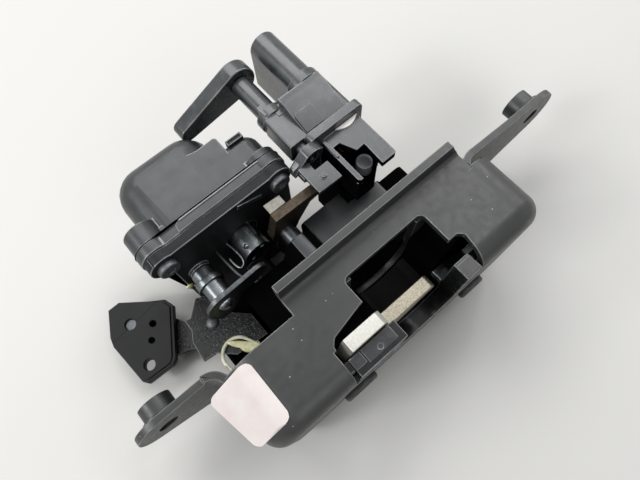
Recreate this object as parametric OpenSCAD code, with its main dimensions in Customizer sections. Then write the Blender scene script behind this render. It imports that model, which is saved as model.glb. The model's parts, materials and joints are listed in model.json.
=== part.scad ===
// Power tailgate latch: a drawn steel base plate with a fork and pawl, and a
// moulded cinch and release actuator behind it.
// X runs from ear to ear, Y along the pivots, Z up out of the striker mouth.
// The origin lies midway between the two mounting holes, in the front plane of
// the ears. The shapes are drawn from the striker's centre line, and placed()
// shifts each of them into the frame.

/* [Base plate] */
// Thickness of the pressed steel sheet
sheet_t = 2.4; // [2:0.1:2.8]
// Reach of the tray to the left of the striker line
tray_left = 56; // [54:0.5:59]
// Reach of the tray to the right of the striker line
tray_right = 45.5; // [43:0.5:49]
// Height of the top wall above the mounting holes
top_z = 31; // [29:0.5:33]
// Drop of the bottom wall below the mounting holes
bottom_drop = 27; // [26:0.5:30]
// Depth of the tray in front of the ears
tray_d = 28.5; // [27:0.5:32]
// Corner radius of the tray seen from the front
tray_r = 13; // [10:0.5:15]
// Radius between the tray's walls and its floor
floor_r = 6; // [4:0.5:8]
// Height of the stiffening flange above the top wall
flange_h = 5.8; // [4:0.2:9]
// Distance of each mounting hole from the pattern's middle
mount_half = 80; // [76:0.5:86]
// Offset of the pattern's middle from the striker line
mount_shift = 3.5; // [0:0.5:6]
// Radius of the clearance hole in each ear
ear_hole_r = 3.3; // [3:0.1:3.8]
// Radius of the rounded end of each ear
ear_tip_r = 10; // [9:0.5:12]

/* [Striker mouth] */
// Width of the striker's way between the guide blocks
mouth_w = 22.2; // [20:0.2:24]
// Depth of the striker's way below the top wall
mouth_d = 34; // [31:0.5:36]
// Wall of the plastic liner in the mouth
liner_t = 3; // [2.4:0.1:3.4]

/* [Fork and pawl] */
// Distance of the fork's pivot to the left of the striker line
fork_x = 26.3; // [25:0.1:28]
// Depth of the fork's pivot below the top wall
fork_depth = 30; // [29:0.5:31]
// Thickness of the fork and of the pawl
fork_t = 4; // [3:0.2:4.2]
// Radius of the fork's pivot pin
pivot_r = 4; // [3.4:0.1:4.6]
// Radius of the kick prong's tip about the pivot
kick_r = 36.6; // [35.6:0.1:36.8]
// Distance of the pawl's pivot to the right of the striker line
pawl_x = 25; // [24:0.5:27]
// Depth of the pawl's pivot below the top wall
pawl_depth = 42; // [40:0.5:43]

/* [Cinch drive] */
// Module of the drive's gear teeth
gear_m = 1; // [1:0.05:1]
// Teeth on the output pinion
pinion_teeth = 10; // [10:1:10]
// Teeth that a full circle of the sector would have
sector_teeth = 24; // [24:1:24]
// Teeth on the worm wheel
wheel_teeth = 18; // [18:1:18]
// Pitch radius of the worm
worm_r = 3; // [2.8:0.1:3.2]
// Distance of the output axis to the left of the striker line
output_x = 24.3; // [23.8:0.1:25]
// Depth of the drive axes below the top wall
drive_depth = 19.5; // [19:0.5:20.5]

/* [Gear case] */
// Front face of the case's rear flange
case_y = 28.6; // [28.2:0.1:29.2]
// Thickness of each of the two flange layers
flange_t = 3.4; // [3:0.1:3.8]
// Depth of the moulded dome behind the flange
dome_d = 26.5; // [25:0.2:28]
// Wall of the mouldings
wall = 1.8; // [1.5:0.1:2.2]

/* [Release unit] */
// Height of the release unit above the top wall
unit_rise = 2; // [1:0.5:4]
// Left face of the motor box
unit_x = 5.5; // [5:0.1:6.5]
// Width of the motor box
unit_w = 17.5; // [17:0.5:20]
// Length of the motor barrel behind the box
barrel_d = 22; // [20:0.5:26]
// Radius of the motor barrel's rounded back
barrel_r = 4.7; // [4.4:0.1:5.4]
// Radius of the manual lever's shaft
shaft_r = 2.2; // [1.8:0.1:2.4]
// Reach of the manual lever's arm
arm_reach = 21.7; // [18:0.5:26]

/* [Fits] */
// Radius of the cinch lever's shaft
hub_r = 2; // [1.7:0.1:2.2]
// Radial clearance of a running pivot
run_gap = 0.06; // [0.04:0.01:0.09]
// Gap between neighbouring solids that don't move on each other
seat_gap = 0.3; // [0.2:0.05:0.4]

/* [Hidden] */
$fn = 48;
black = "#26282a";
bottom_z = -bottom_drop;
back_t = 2.2;
rim_y = -5.5;
bend_r = 1.6;
ear_bend_r = 4;
// planes along Y
floor_in = -tray_d + sheet_t;
liner_y0 = floor_in + seat_gap;
liner_y1 = liner_y0 + liner_t;
fork_y0 = liner_y1 + seat_gap;
fork_y1 = fork_y0 + fork_t;
house_y0 = fork_y1 + seat_gap;
back_y1 = rim_y;
back_y0 = back_y1 - back_t;
house_y1 = back_y0;
carrier_y1 = 13.8;
// pivots
fork_z = top_z - fork_depth;
pawl_z = top_z - pawl_depth;
drive_z = top_z - drive_depth;
hub_x = output_x + gear_m * (pinion_teeth + sector_teeth) / 2;
worm_x = output_x + gear_m * wheel_teeth / 2 + worm_r;
mouth_x = mouth_w / 2;
mouth_z = top_z - mouth_d + mouth_x;
case_y1 = case_y + flange_t;
gear_y = case_y1 + 1.3;
drum_y1 = case_y1 - 1.1;
cover_y1 = case_y1 + flange_t;
dome_y1 = cover_y1 + dome_d;
screw_z = top_z - 4.5;
screw_x = [-47.3, -8];
unit_top = top_z + unit_rise;
unit_x1 = unit_x + unit_w;
flange_y0 = 28.2;
box_y0 = 31;
box_y1 = 44;
barrel_y1 = box_y1 + barrel_d;
barrel_x = unit_x1 - 6.1;
barrel_z = top_z + 5.5 - barrel_r;
barrel_drop = 14;
arm_x = 3.2;
arm_z = top_z - 1.2;
release_x = -14;
release_z = top_z - 15;
release_y0 = 18.9;
release_y1 = 21.9;
lever_y0 = barrel_y1 - 5.8;
lever_y1 = lever_y0 + 4.8;
ledge_z = top_z - 37;
bracket_t = 2;
paddle_z = top_z - 50;
paddle_t = 3;
paddle_px = -72.1;
paddle_py = 39.7;
blank_t = 0.15;
wire_r = 0.6;
wire_bow = 5.2;

// Shifts a shape from the striker's centre line into the part's frame
module placed() translate([-mount_shift, 0, 0]) children();
// Extrudes a shape drawn in X and Z between two planes across Y
module along_y(y0, y1) translate([0, y1, 0]) rotate([90, 0, 0]) linear_extrude(y1 - y0) children();
// Extrudes a shape drawn in Y and Z between two planes across X
module along_x(x0, x1) translate([x0, 0, 0]) rotate([90, 0, 90]) linear_extrude(x1 - x0) children();
// Extrudes a shape drawn in X and Y between two heights
module along_z(z0, z1) translate([0, 0, z0]) linear_extrude(z1 - z0) children();
// Moves a drawn shape
module at(a, b) translate([a, b]) children();
// Rectangle between two corners with round corners
module rrect(a0, b0, a1, b1, r) {
    at(a0 + r, b0) square([a1 - a0 - 2 * r, b1 - b0]);
    at(a0, b0 + r) square([a1 - a0, b1 - b0 - 2 * r]);
    for (a = [a0 + r, a1 - r], b = [b0 + r, b1 - r]) at(a, b) circle(r);
}
// Two discs joined by straight sides, which lie along their tangents at k = 1
module link2d(a0, b0, r0, a1, b1, r1, k = 1) {
    d = norm([a1 - a0, b1 - b0]);
    dir = atan2(b1 - b0, a1 - a0);
    half = acos((r0 - r1) / d);
    at(a0, b0) circle(r0);
    at(a1, b1) circle(r1);
    polygon([
        [a0 + k * r0 * cos(dir + half), b0 + k * r0 * sin(dir + half)],
        [a0 + k * r0 * cos(dir - half), b0 + k * r0 * sin(dir - half)],
        [a1 + k * r1 * cos(dir - half), b1 + k * r1 * sin(dir - half)],
        [a1 + k * r1 * cos(dir + half), b1 + k * r1 * sin(dir + half)]
    ]);
}
// Round bar along Y
module bar(x, z, r, y0, y1) along_y(y0, y1) at(x, z) circle(r);
// Pan head with a rounded rim and a star-shaped socket, its face towards -Y
module screw_head(x, z, y, r) {
    translate([x, y, z]) rotate([90, 0, 0]) difference() {
        rotate_extrude() {
            square([r, 1.4]);
            square([r - 0.6, 2]);
            at(r - 0.6, 1.4) circle(0.6);
        }
        translate([0, 0, 0.8]) linear_extrude(2) {
            circle(r * 0.38);
            for (i = [0:5]) rotate(i * 60) at(r * 0.36, 0) circle(r * 0.13);
        }
    }
}
// Torsion spring coil around a pivot, as closely wound turns
module coil(x, z, r, wire, turns, y0) {
    translate([x, y0, z]) rotate([-90, 0, 0]) rotate_extrude() {
        for (i = [0:turns - 1]) at(r, wire * (i + 0.5)) circle(wire * 0.54);
    }
}
// Spur gear outline with straight-sided teeth and a root clearance
module gear2d(teeth, m, first = 0, last = 360) {
    r = teeth * m / 2;
    pitch = 360 / teeth;
    circle(r - 1.2 * m);
    for (i = [0:teeth - 1]) {
        a = i * pitch;
        if (a >= first && a <= last) rotate(a) polygon([
            [r - 1.5 * m, -0.62 * m], [r - 1.5 * m, 0.62 * m],
            [r, 0.36 * m * PI / 2], [r + 0.85 * m, 0.18 * m * PI / 2],
            [r + 0.85 * m, -0.18 * m * PI / 2], [r, -0.36 * m * PI / 2]
        ]);
    }
}

// Section of the drawn wall, from the corner's axis outwards and from the floor up
module wall_section() {
    square([tray_r - floor_r, sheet_t]);
    at(tray_r - floor_r, floor_r) intersection() {
        difference() {
            circle(floor_r);
            circle(floor_r - sheet_t);
        }
        at(0, -floor_r) square(floor_r);
    }
    at(tray_r - sheet_t, floor_r) square([sheet_t, tray_d + rim_y - floor_r]);
}
// Drawn tray: four round corners, four straight walls and the floor between them
module tray_shell() {
    span_x = tray_left + tray_right - 2 * tray_r;
    span_z = top_z - bottom_z - 2 * tray_r;
    translate([(tray_right - tray_left) / 2, -tray_d, (top_z + bottom_z) / 2]) rotate([-90, 0, 0]) {
        for (i = [0:3]) {
            sx = i % 2 == 0 ? span_x : span_z;
            sz = i % 2 == 0 ? span_z : span_x;
            rotate(i * 90) {
                translate([sx / 2, sz / 2, 0]) rotate_extrude(angle = 90) wall_section();
                translate([sx / 2, sz / 2, 0]) rotate([90, 0, 0]) linear_extrude(sz) wall_section();
            }
        }
        translate([-span_x / 2, -span_z / 2, 0]) cube([span_x, span_z, sheet_t]);
    }
}

// Section through the top wall's bend and the flange that stands on it
module flange_section() {
    at(rim_y - 1, top_z - sheet_t) square([-rim_y + 1 - bend_r, sheet_t]);
    at(-bend_r, top_z + bend_r) intersection() {
        difference() {
            circle(bend_r + sheet_t);
            circle(bend_r);
        }
        at(0, -bend_r - sheet_t) square(bend_r + sheet_t);
    }
    at(0, top_z + bend_r) square([sheet_t, flange_h - bend_r]);
}

// Outline of one ear from the end of its bend to its tip
module ear_outline(s, x_root, x_hole) {
    root_top = 12;
    root_bottom = bottom_z + 5;
    tangent = atan2(-ear_tip_r - root_bottom, x_hole - x_root) + 6;
    scale([s, 1]) {
        at(x_hole, 0) circle(ear_tip_r);
        polygon([
            [x_root, root_top], [x_hole - 16, ear_tip_r], [x_hole, ear_tip_r],
            [x_hole + ear_tip_r * sin(tangent), -ear_tip_r * cos(tangent)],
            [x_root + 3, root_bottom], [x_root, root_bottom]
        ]);
    }
}

// One ear with the bend that joins it to the tray's end wall
module ear(s, reach, x_hole) {
    root_top = 12;
    root_bottom = bottom_z + 5;
    x_root = reach + ear_bend_r;
    along_z(root_bottom, root_top) scale([s, 1]) {
        at(reach - sheet_t, rim_y - 1) square([sheet_t, -rim_y + 1 - ear_bend_r]);
        at(x_root, -ear_bend_r) intersection() {
            difference() {
                circle(ear_bend_r + sheet_t);
                circle(ear_bend_r);
            }
            at(-ear_bend_r - sheet_t, 0) square(ear_bend_r + sheet_t);
        }
    }
    along_y(0, sheet_t) ear_outline(s, x_root - 0.01, x_hole);
}

// Outline of the cut in the top wall, drawn in X and Y
module top_opening() {
    rrect(-14.5, -20, 14, -6.9, 1.8);
    polygon([[-15.2, -14.6], [-26, -16.8], [-27.6, -18.4], [-29, -tray_d - 2],
        [17, -tray_d - 2], [18.5, -19], [17, -17.5], [13, -17.5]]);
}

// Outline of the mouth in the tray's floor, drawn in X and Z, grown by g
module floor_mouth(g) {
    at(-28.6 - g, top_z - 14 - g) square([45.6 + 2 * g, 16 + g]);
    at(0, mouth_z) circle(mouth_x + 2.4 + g);
    at(-mouth_x - 2.4 - g, mouth_z) square([mouth_w + 4.8 + 2 * g, mouth_d - mouth_x - 8]);
}

module base_plate() color(black) placed() difference() {
    union() {
        tray_shell();
        intersection() {
            along_x(-30.2, 34.6) flange_section();
            along_y(rim_y - 2, sheet_t + 1) polygon([[-30.2, top_z - 4], [34.6, top_z - 4],
                [34.6, top_z + 0.6], [31.6, top_z + flange_h + 1], [-30.2, top_z + flange_h + 1]]);
        }
        ear(1, tray_right, mount_shift + mount_half);
        ear(-1, tray_left, mount_half - mount_shift);
    }
    along_z(top_z - 20, top_z + 2) top_opening();
    along_y(-tray_d - 2, -tray_d + floor_r + 3) floor_mouth(0);
    for (x = [mount_shift - mount_half, mount_shift + mount_half]) bar(x, 0, ear_hole_r, -1, sheet_t + 1);
    bar(-fork_x, fork_z, 3, -tray_d - 1, floor_in + 1);
    bar(pawl_x, pawl_z, 3, -tray_d - 1, floor_in + 1);
}

// Round flanged collar behind an ear, bored like the ear itself
module ear_collar(x) color("#1d1e20") placed() difference() {
    union() {
        bar(x, 0, 5.4, sheet_t, sheet_t + 6);
        bar(x, 0, 6.6, sheet_t, sheet_t + 1.4);
    }
    bar(x, 0, ear_hole_r, sheet_t - 1, sheet_t + 7);
}
module ear_collar_left() ear_collar(mount_shift - mount_half);
module ear_collar_right() ear_collar(mount_shift + mount_half);

// Blank sticker that wraps from the top wall over the left end
module origin_label() color("#efe6e4") placed() {
    cx = -tray_left + tray_r;
    cz = top_z - tray_r;
    from = 105;
    to = 125;
    along_y(-tray_d + 4.2, rim_y - 0.8) at(cx, cz) rotate(to) at(tray_r + 0.02, -0.1) square([blank_t, 8.4]);
    intersection() {
        along_y(-tray_d + 4.2, rim_y - 0.8) at(cx, cz) difference() {
            circle(tray_r + 0.02 + blank_t, $fn = 96);
            circle(tray_r + 0.02, $fn = 96);
        }
        along_y(-tray_d, rim_y) at(cx, cz) polygon([[0, 0], 30 * [cos(from), sin(from)],
            30 * [cos((from + to) / 2), sin((from + to) / 2)], 30 * [cos(to), sin(to)]]);
    }
}

// Plastic liner of the mouth: a plate inside the tray's floor with guide blocks
module striker_guide() color("#141516") placed() difference() {
    union() {
        along_y(liner_y0, liner_y1) {
            rrect(-33, bottom_z + 7, 34, top_z - sheet_t - 2.4, 3);
            at(-27, top_z - 12) square([43.4, 9]);
        }
        along_y(-tray_d + 0.2, liner_y0 + 0.1) intersection() {
            floor_mouth(-0.4);
            at(-27, bottom_z) square([80, top_z - bottom_z - 3]);
        }
    }
    along_y(-tray_d - 1, liner_y1 + 1) {
        at(-mouth_x, mouth_z) square([mouth_w, 40]);
        at(0, mouth_z) circle(mouth_x);
    }
    bar(-fork_x, fork_z, pivot_r + 0.5, liner_y0 - 1, liner_y1 + 1);
    bar(pawl_x, pawl_z, pivot_r + 0.1, liner_y0 - 1, liner_y1 + 1);
    for (x = [-24.5, 13.6]) along_y(-tray_d - 1, -tray_d + 1.4) at(x - 2, top_z - 11) square([4.4, 5]);
    bar(-19.5, top_z - 8.5, 1.2, -tray_d, -tray_d + 1);
}

// Moulded housing behind the fork with the striker's channel
module latch_housing() color("#191a1c") placed() difference() {
    along_y(house_y0, house_y1) {
        difference() {
            rrect(-tray_left + sheet_t + 0.4, bottom_z + sheet_t + 0.4,
                tray_right - sheet_t - 0.4, top_z - sheet_t - 0.4, tray_r - sheet_t - 0.4);
            at(-mouth_x, mouth_z) square([mouth_w, 40]);
            at(0, mouth_z) circle(mouth_x);
        }
    }
    // pockets round the two springs and their legs
    bar(-fork_x, fork_z, 9.4, house_y0 - 1, house_y0 + 6.5);
    bar(pawl_x, pawl_z, 8, house_y0 - 1, house_y0 + 5.5);
    along_y(house_y0 - 1, house_y0 + 3) {
        leg_way(-fork_x, fork_z, 6.2, 150, 15);
        leg_way(pawl_x, pawl_z, 5.6, 60, 11);
    }
    // bores for the pivots
    bar(-fork_x, fork_z, pivot_r + 0.1, house_y0, house_y1 + 1);
    bar(pawl_x, pawl_z, pivot_r + 0.1, house_y0, house_y1 + 1);
    // relief round the opening of the top wall
    along_y(house_y0 - 1, house_y1 + 1) rrect(-17, top_z - 13, 17, top_z + 4, 2);
    // moulded relief that keeps the walls even
    for (x = [-46, 33]) along_y(house_y1 - 5, house_y1 + 1) rrect(x, 4, x + 8, 18, 2);
}

// Rubber pad at the bottom of the striker's channel
module striker_bumper() color("#0f0f10") placed() along_y(house_y0 + 1, house_y1 - 1) difference() {
    at(0, mouth_z) circle(mouth_x - 0.05);
    at(0, mouth_z) circle(mouth_x - 3);
    at(-20, mouth_z - 4) square([40, 40]);
}

module back_plate() color("#2e2f31") placed() along_y(back_y0, back_y1) difference() {
    rrect(-tray_left + sheet_t + 0.3, bottom_z + sheet_t + 0.3,
        tray_right - sheet_t - 0.3, top_z - sheet_t - 0.3, tray_r - sheet_t - 0.3);
    at(-mouth_x - 1, mouth_z) square([mouth_w + 2, 40]);
    at(0, mouth_z) circle(mouth_x + 1);
    at(-fork_x, fork_z) circle(3);
    at(pawl_x, pawl_z) circle(3);
}

// Shouldered rivet through the floor, a lever and the back plate
module stepped_rivet(x, z, head_r) color("#a7a8a6") placed() {
    bar(x, z, pivot_r, floor_in, back_y0);
    bar(x, z, 3, floor_in - sheet_t - 0.1, back_y1 + 0.1);
    translate([x, -tray_d, z]) rotate([90, 0, 0]) rotate_extrude() {
        square([head_r, 1]);
        square([head_r - 1, 2]);
        at(head_r - 1, 1) circle(1);
    }
    bar(x, z, 4.6, back_y1, back_y1 + 1.5);
}
module fork_pivot() stepped_rivet(-fork_x, fork_z, 6);
module pawl_pivot() stepped_rivet(pawl_x, pawl_z, 5);

// Fork in its open position: hook prong up, kick prong across the mouth
module fork_outline() {
    hook = [[1.3, 30.4], [12, 30], [13.4, 28.6], [13.8, 18.2]];
    throat = [[15.8, 16], [32.4, 16]];
    tip = [for (a = [25, 21.5, 18]) kick_r * [cos(a), sin(a)]];
    heel = [[29, 7.4], [17, -1.4], [10, -9], [-2, -12.6], [-11, -6], [-12, 3], [-8, 10], [-1.4, 22]];
    polygon(concat(hook, throat, tip, heel));
}
module fork_bolt() color("#b7b09c") placed() translate([-fork_x, 0, fork_z]) difference() {
    union() {
        along_y(fork_y0, fork_y1) fork_outline();
        bar(0, 0, 12.6, fork_y0, fork_y1);
    }
    bar(0, 0, pivot_r + run_gap, fork_y0 - 1, fork_y1 + 1);
    bar(-8.4, 3, 1.1, fork_y1 - 2, fork_y1 + 1);
}

// Straight leg that leaves a coil tangentially in the direction a
module leg(x, z, y, r, a, length, wire) translate([x, y, z]) rotate([0, -a, 0])
    translate([0, 0, r]) rotate([0, 90, 0]) cylinder(h = length, r = wire * 0.5);
// Channel for such a leg
module leg_way(x, z, r, a, length) at(x, z) rotate(a) link2d(0, r, 1.5, length, r, 1.5);

module fork_spring() color("#77797a") placed() {
    coil(-fork_x, fork_z, 6.2, 1.4, 4, house_y0 + 0.3);
    leg(-fork_x, fork_z, house_y0 + 1, 6.2, 150, 15, 1.4);
}

// Pawl with its nose beside the end of the kick prong
module pawl() color("#9fa09b") placed() translate([pawl_x, 0, pawl_z]) difference() {
    union() {
        bar(0, 0, 7.4, fork_y0, fork_y1);
        along_y(fork_y0, fork_y1) polygon([[-7, 2], [-11.6, 14.6], [-13.2, 17.6], [-12.6, 19.4],
            [-8.4, 19], [5.2, 5.2], [5, -5], [-5, -5]]);
        along_y(fork_y0, fork_y1) polygon([[4.6, 5.4], [13, 8.6], [14.2, 6], [12.4, 3.4], [6.6, -3], [5.4, 0]]);
    }
    bar(0, 0, pivot_r + run_gap, fork_y0 - 1, fork_y1 + 1);
}

module pawl_spring() color("#77797a") placed() {
    coil(pawl_x, pawl_z, 5.6, 1.2, 3, house_y0 + 0.3);
    leg(pawl_x, pawl_z, house_y0 + 0.9, 5.6, 60, 11, 1.2);
}

// Moulded body that carries the levers and the drive behind the back plate
module carrier() color("#232527") placed() difference() {
    union() {
        along_y(back_y1, carrier_y1) rrect(-36, bottom_z + 2, 30, top_z - 20, 3);
        along_y(back_y1, 22) rrect(-52, bottom_z + 2, -30, ledge_z, 2);
        along_y(back_y1 + 8, carrier_y1) link2d(release_x, release_z, 5, release_x, release_z - 12, 7);
        along_y(back_y1 + 13.3, carrier_y1) rrect(-9, -6, 19.5, top_z - 17.5, 1.5);
        along_y(carrier_y1 - 1, release_y0 - 0.5) rrect(-9, -6, 7.7, top_z - 17.5, 1.5);
    }
    for (x = [-fork_x, pawl_x]) bar(x, x < 0 ? fork_z : pawl_z, 5.4, back_y1 - 1, back_y1 + 1.8);
    along_y(back_y1 - 1, back_y1 + 13) {
        at(0, mouth_z) circle(mouth_x - 1);
        at(-mouth_x + 1, mouth_z) square([mouth_w - 2, 40]);
    }
    bar(release_x, release_z, 2.5, carrier_y1 - 8, carrier_y1 + 1);
    translate([-49, 17, ledge_z - 8]) cylinder(h = 10, r = 1.3);
}

// Bent steel bracket that reaches under the paddle
module side_bracket() color("#1b1c1e") placed() difference() {
    union() {
        along_z(ledge_z, ledge_z + bracket_t) polygon([[-37.5, 2.5], [-37.5, 11], [-43, 16.5], [-44.5, 25.5],
            [-48.5, 27.3], [-53.5, 23], [-57.6, 16], [-58.4, 9], [-53.8, 8.5], [-49, 3.6]]);
        along_z(paddle_z - 2.4 - bracket_t, ledge_z + bracket_t) polygon([[-53.8, 13.5], [-53.5, 23], [-55.5, 23.6], [-55.8, 13.5]]);
        along_z(paddle_z - 2.4 - bracket_t, paddle_z - 2.4) {
            polygon([[-53.6, 14], [-53.6, 22.8], [-66, 44.5], [-77.5, 44.5], [-76, 35], [-69, 22], [-62, 20]]);
            at(paddle_px, paddle_py) circle(6.6);
        }
    }
    translate([-49, 17, ledge_z - 1]) cylinder(h = 5, r = 1.3);
    translate([paddle_px, paddle_py, paddle_z - 9]) cylinder(h = 10, r = 1.6);
}

module bracket_rivet() color("#8f9192") placed() translate([-49, 17, 0]) {
    translate([0, 0, ledge_z - 8]) cylinder(h = 8 + bracket_t, r = 1.3);
    translate([0, 0, ledge_z + bracket_t]) rotate_extrude() intersection() {
        at(0, -1.6) circle(2.7);
        square([2.6, 2]);
    }
}

// Moulded cable lever with its holes and a raised half
module paddle_lever() color("#303234") placed() difference() {
    union() {
        along_z(paddle_z - paddle_t / 2, paddle_z + paddle_t / 2) polygon([[-71, 49.2], [-62.4, 42.4],
            [-57.7, 39.2], [-56.6, 35.5], [-66.6, 19.6], [-68.6, 18.4], [-78.6, 18.8], [-79.8, 20.6],
            [-81, 37], [-80.2, 40.4], [-75.4, 49.2]]);
        along_z(paddle_z, paddle_z + paddle_t / 2 + 0.5) polygon([[-79.8, 38.2], [-79, 21],
            [-77.8, 19.8], [-69, 19.4], [-67.4, 20.6], [-57.8, 35.7], [-58.6, 38.6], [-61, 40.2]]);
    }
    translate([paddle_px, paddle_py, paddle_z - 5]) cylinder(h = 10, r = 2 + run_gap);
    for (p = [[-65.8, 34.6, 1.2], [-69.4, 30, 1.1], [-74.7, 23.6, 2]])
        translate([p[0], p[1], paddle_z - 5]) cylinder(h = 10, r = p[2]);
}

module paddle_rivet() color("#a7a8a6") placed() translate([paddle_px, paddle_py, 0]) {
    translate([0, 0, paddle_z - 2.4 - bracket_t]) cylinder(h = bracket_t, r = 1.6);
    translate([0, 0, paddle_z - 2.4]) cylinder(h = 2.4 - paddle_t / 2 - 0.2, r = 3.2);
    translate([0, 0, paddle_z - 2.4]) cylinder(h = 2.4 + paddle_t / 2 - 0.9, r = 2);
}

// Greased wire spring that lies in a bow on the bracket, with two straight ends
module wire_spring() color("#c9c7b4") placed() translate([-48.4, 3.4, ledge_z + bracket_t + wire_r]) {
    rotate(25) rotate_extrude(angle = 160) at(wire_bow, 0) circle(wire_r);
    rotate(25) translate([wire_bow, 0, 0]) rotate([90, 0, 0]) translate([0, 0, -0.4]) cylinder(h = 4.9, r = wire_r - 0.06);
    rotate(185) translate([wire_bow, 0, 0]) rotate([-90, 0, 0]) translate([0, 0, -0.4]) cylinder(h = 3.4, r = wire_r - 0.06);
}

// Outline that both flange layers share
module case_outline(g) {
    for (x = screw_x) at(x, screw_z) circle(5.5 + g);
    rrect(-47.5 - g, bottom_z + 1, -4 + g, top_z + g * 0.5, 5);
    at(-50, screw_z - 1) square([10, top_z - screw_z + 1 + g * 0.5]);
}

// Front half of the gear case with its flange, bearings and feet
module gear_case() color("#2a2c2e") placed() difference() {
    union() {
        along_y(case_y, case_y1) case_outline(-0.5);
        bar(-hub_x, drive_z, 3.4, case_y - 1.2, case_y);
        along_y(carrier_y1, case_y) {
            rrect(-28, bottom_z + 3, -20, bottom_z + 12, 2);
            rrect(-14, bottom_z + 3, -6, bottom_z + 20, 2);
        }
    }
    bar(-output_x, drive_z, 3.1, case_y - 1, case_y1 + 1);
    bar(-output_x, drive_z, 5.6, case_y - 1, drum_y1 + seat_gap);
    bar(-hub_x, drive_z, hub_r + run_gap, 20, case_y1 + 1);
    for (x = screw_x) bar(x, screw_z, 1.7, case_y - 1, case_y1 + 1);
}

// Rounded block that the dome is hulled from
module dome_block(x0, x1, z0, z1, y0, y1, r, g) hull() for (x = [x0 + r, x1 - r], z = [z0 + r, z1 - r]) {
    translate([x, y1 - r, z]) sphere(r - g, $fn = 24);
    translate([x, y0, z]) rotate([-90, 0, 0]) cylinder(h = 1, r = r - g, $fn = 24);
}

// Deep cover over the motor and the gears
module gear_cover() color("#3a3d40") placed() difference() {
    union() {
        along_y(case_y1, cover_y1) case_outline(0);
        dome_block(-47.5, -15.8, bottom_z, top_z - 1.5, case_y1, dome_y1, 9, 0);
        dome_block(-29, -4, bottom_z + 12, top_z - 1.5, case_y1, cover_y1 + 12, 4.5, 0);
        bar(screw_x[0], screw_z, 5.3, case_y1, cover_y1 + 6.5);
        bar(screw_x[1], screw_z, 5.3, case_y1, cover_y1 + 2.5);
    }
    difference() {
        union() {
            dome_block(-47.5, -15.8, bottom_z, top_z - 1.5, case_y1 - 1.2, dome_y1, 9, wall);
            dome_block(-24, -4, bottom_z + 12, top_z - 1.5, case_y1 - 1.2, cover_y1 + 12, 4.5, wall);
            bar(-output_x, drive_z, 10.4, case_y1 + 1, case_y1 + 13.4);
        }
        bar(-output_x, drive_z, 3.6, dome_y1 - 8, dome_y1);
        for (x = screw_x) bar(x, screw_z, 2.8, case_y1 - 2, cover_y1 + 2.4);
    }
    bar(-output_x, drive_z, 2 + run_gap, dome_y1 - 9, dome_y1 - wall);
    for (x = screw_x) bar(x, screw_z, 1.4, case_y1 - 1, cover_y1 + 1.5);
}

module case_screws() color("#3b3d3f") placed() for (x = screw_x) {
    screw_head(x, screw_z, case_y, 3.2);
    bar(x, screw_z, 1.35, case_y, cover_y1 + 1.4);
}

// Can motor that stands in the dome with the worm on its shaft
motor_y = case_y1 + 10;
module cinch_motor() color("#8d9092") placed() {
    translate([-worm_x, motor_y, drive_z - 33]) cylinder(h = 20.4, r = 8.4);
    translate([-worm_x, motor_y, drive_z - 12.6]) cylinder(h = 2, r = 3);
    translate([-worm_x, motor_y, drive_z - 10.6]) cylinder(h = 20, r = 1);
}
module worm() color("#c8b47a") placed() translate([-worm_x, motor_y, drive_z]) difference() {
    union() {
        translate([0, 0, -8]) cylinder(h = 16, r = worm_r - 1.1);
        translate([0, 0, -7]) rotate(98) linear_extrude(14, twist = -360 * 14 / (PI * gear_m), slices = 54)
            at(0.8, 0) circle(worm_r - 0.6, $fn = 10);
    }
    translate([0, 0, -9]) cylinder(h = 18, r = 1 + run_gap);
}

// Worm wheel and pinion on the shaft that leaves through the case
module output_wheel() color("#d8d2bf") placed() {
    along_y(motor_y - 3, motor_y + 3) at(-output_x, drive_z) gear2d(wheel_teeth, gear_m);
    along_y(gear_y, gear_y + 3.4) at(-output_x, drive_z) rotate(180 / pinion_teeth) gear2d(pinion_teeth, gear_m);
    bar(-output_x, drive_z, 3.1 - run_gap, 22, motor_y - 3);
    bar(-output_x, drive_z, 2, motor_y + 3, dome_y1 - wall - 0.4);
}

// Black drum on the end of the output shaft
module output_hub() color("#202224") placed() difference() {
    union() {
        bar(-output_x, drive_z, 4.7, 20.5, drum_y1);
        bar(-output_x, drive_z, 5.2, drum_y1 - 1.6, drum_y1);
    }
    bar(-output_x, drive_z, 3.1 - run_gap, 22, drum_y1 + 1);
    bar(-output_x - 2.2, drive_z - 1.6, 0.9, 20, 21.8);
    along_y(20, 21.2) at(-output_x + 1.2, drive_z + 1.6) square([1.4, 2]);
}

// Steel shaft of the cinch lever with its toothed sector inside the case
module cinch_shaft() color("#b4b5b3") placed() {
    bar(-hub_x, drive_z, hub_r, 13.6, gear_y + 3.4 + 1);
    translate([-hub_x, 14.2, drive_z]) rotate([90, 0, 0]) rotate_extrude() intersection() {
        at(0, -1.6) circle(3.2);
        square([3, 3]);
    }
    along_y(gear_y, gear_y + 3.4) at(-hub_x, drive_z) {
        circle(4);
        intersection() {
            gear2d(sector_teeth, gear_m, 0, 360);
            polygon([[0, 0], 18 * [cos(-16), sin(-16)], 18 * [cos(10), sin(10)],
                18 * [cos(35), sin(35)], 18 * [cos(57), sin(57)]]);
        }
    }
}

// Long hub of the cinch lever
module cinch_hub() color("#2b2d2f") placed() difference() {
    union() {
        bar(-hub_x, drive_z, 3.6, 15.7, case_y - 1.2 - seat_gap);
        bar(-hub_x, drive_z, 4.6, 21.4, 23.6);
    }
    bar(-hub_x, drive_z, hub_r, 10, 40);
}
module cinch_arm() color("#6f7173") placed() along_y(14.2, 15.7) at(-hub_x, drive_z) difference() {
    union() {
        link2d(0, 0, 6.4, 12.4, 3.6, 3.4, 0.96);
        link2d(0, 0, 6, -2, -7.6, 3, 0.96);
    }
    circle(hub_r);
}

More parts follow.
